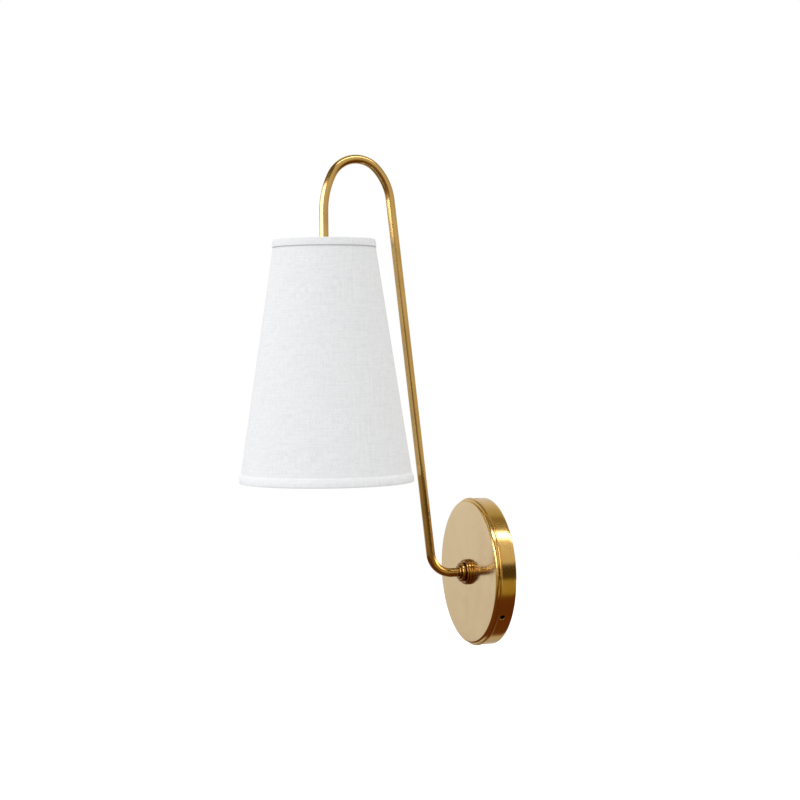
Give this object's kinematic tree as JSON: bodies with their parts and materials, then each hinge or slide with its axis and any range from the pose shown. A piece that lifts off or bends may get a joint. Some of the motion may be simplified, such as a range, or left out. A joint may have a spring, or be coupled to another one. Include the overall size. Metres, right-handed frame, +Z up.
{
  "type": "wall light",
  "caption": "Wall light with a hooked brass tube arm on a round canopy and a tapered white linen shade around a bulb.",
  "frame": {"origin": "centre of the canopy's back, on the wall plane", "axes": "+Z up, +Y into the wall, +X to the right as seen from the room; the light stands out along -Y"},
  "size_m": [0.1538, 0.2305, 0.4401],
  "materials": {
    "aged_brass": "polished and lightly aged, lacquered",
    "turned_brass": "turned, plain",
    "zinc_steel": "zinc plated",
    "black_steel": "blackened",
    "bare_copper": "bare drawn copper",
    "live_cover": "smooth flexible insulation",
    "neutral_cover": "smooth flexible insulation",
    "moulded_insulator": "moulded",
    "fibre_sleeve": "pressed paper fibre",
    "linen_cloth": "plain woven linen on a stiff backing",
    "shade_backing": "smooth translucent sheet",
    "frame_metal": "white coated wire",
    "bulb_metal": "bright",
    "bulb_black": "glazed",
    "frosted_glass": "frosted white"
  },
  "bodies": {
    "fixture": {"canopy": "aged_brass", "wall_bracket": "zinc_steel", "side_screws": "black_steel", "ground_screw": "zinc_steel", "ground_wire": "bare_copper", "ground_lug": "zinc_steel", "stem_lock_washer": "zinc_steel", "stem_nut": "zinc_steel", "collar_flange": "aged_brass", "collar_bead": "aged_brass", "collar_ferrule": "aged_brass", "arm_tube": "aged_brass", "live_lead": "live_cover", "neutral_lead": "neutral_cover", "shade_seat_nut": "turned_brass", "shade_retainer": "turned_brass", "holder_cap": "turned_brass", "holder_shell": "turned_brass", "holder_sleeve": "fibre_sleeve", "holder_body": "moulded_insulator", "holder_screw_shell": "turned_brass", "holder_contact": "turned_brass", "live_terminal_screw": "turned_brass", "neutral_terminal_screw": "zinc_steel"},
    "shade": {"shade_linen": "linen_cloth", "shade_liner": "shade_backing", "shade_top_band": "linen_cloth", "shade_bottom_band": "linen_cloth", "shade_top_ring": "frame_metal", "shade_bottom_ring": "frame_metal", "shade_spider": "frame_metal"},
    "bulb": {"bulb_base": "bulb_metal", "bulb_insulator": "bulb_black", "bulb_tip": "bulb_metal", "bulb_glass": "frosted_glass"}
  },
  "joints": [
    {"name": "shade_turn", "type": "hinge", "parent": "fixture", "child": "shade", "pos_m": [0, -0.1524, 0.2854], "axis": [0, 0, 1], "continuous": true},
    {"name": "bulb_turn", "type": "hinge", "parent": "fixture", "child": "bulb", "pos_m": [0, -0.1524, 0.2268], "axis": [0, 0, 1], "range_deg": [-360, 0]}
  ]
}
